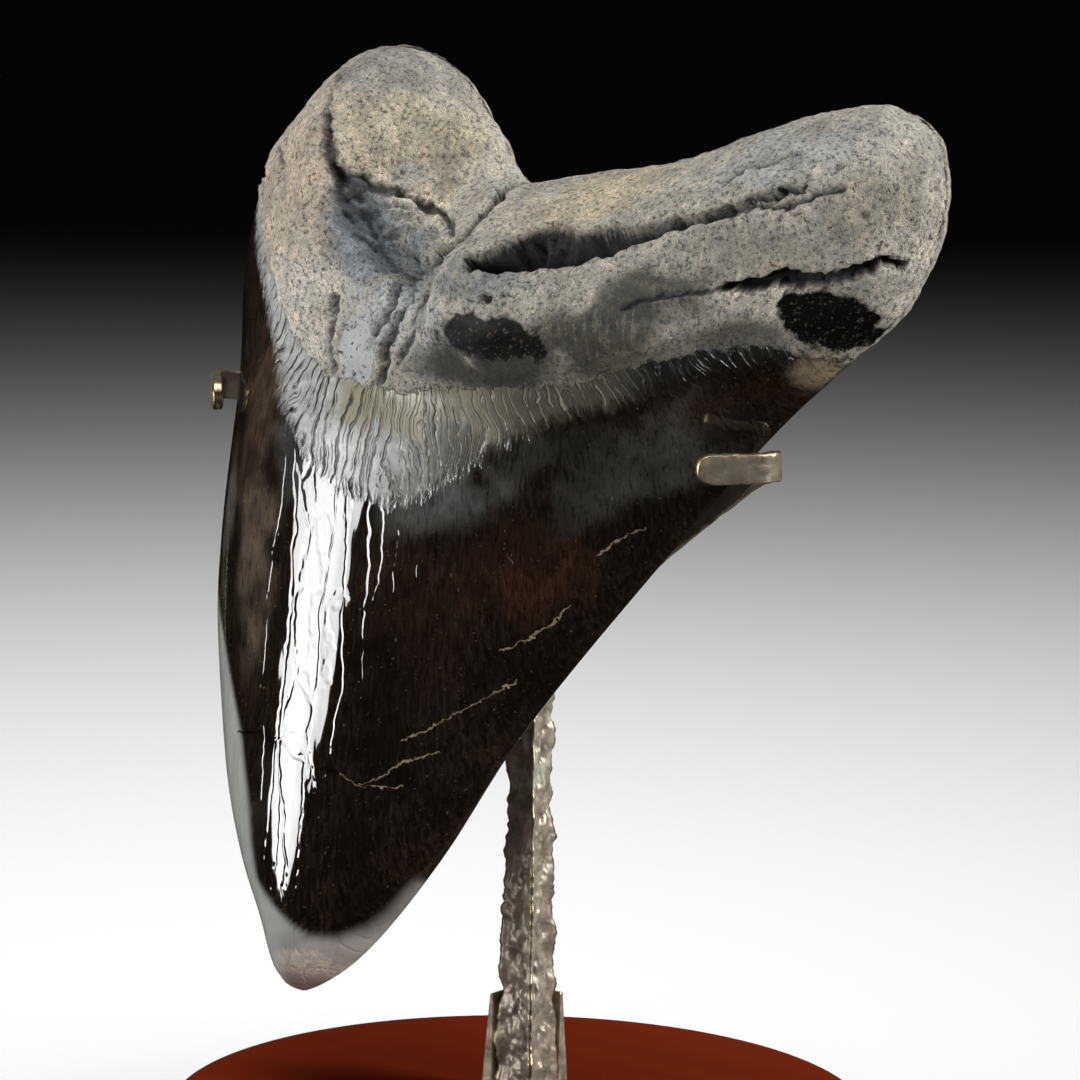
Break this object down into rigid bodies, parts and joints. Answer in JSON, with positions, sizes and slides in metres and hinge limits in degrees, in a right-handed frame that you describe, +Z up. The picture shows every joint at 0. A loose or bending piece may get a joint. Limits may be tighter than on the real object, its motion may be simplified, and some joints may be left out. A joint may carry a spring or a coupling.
{
  "type": "megalodon tooth",
  "caption": "Large polished fossil shark tooth with a rough two-lobed root, point down, held by two bronze fingers on a post over a round lacquered base.",
  "frame": {"origin": "centre of the felt pad's underside, where the stand rests", "axes": "+Z up; -Y is the side that the tooth's rounded inner face looks towards; +X to the right of someone who faces it"},
  "size_m": [0.1195, 0.0988, 0.1645],
  "materials": {
    "fossil": "mirror-polished dark enamel below, rough grey-beige root above",
    "bronze": "brown patinated bronze with bright worn edges and a little green",
    "lacquer": "dark red-brown gloss lacquer over turned wood",
    "steel": "bright turned",
    "felt": "matte black felt"
  },
  "bodies": {
    "root": {"tooth": "fossil", "post": "bronze", "shoe": "bronze", "arm_right": "bronze", "arm_left": "bronze", "base": "lacquer", "base_screw": "steel", "felt_pad": "felt"}
  },
  "joints": []
}
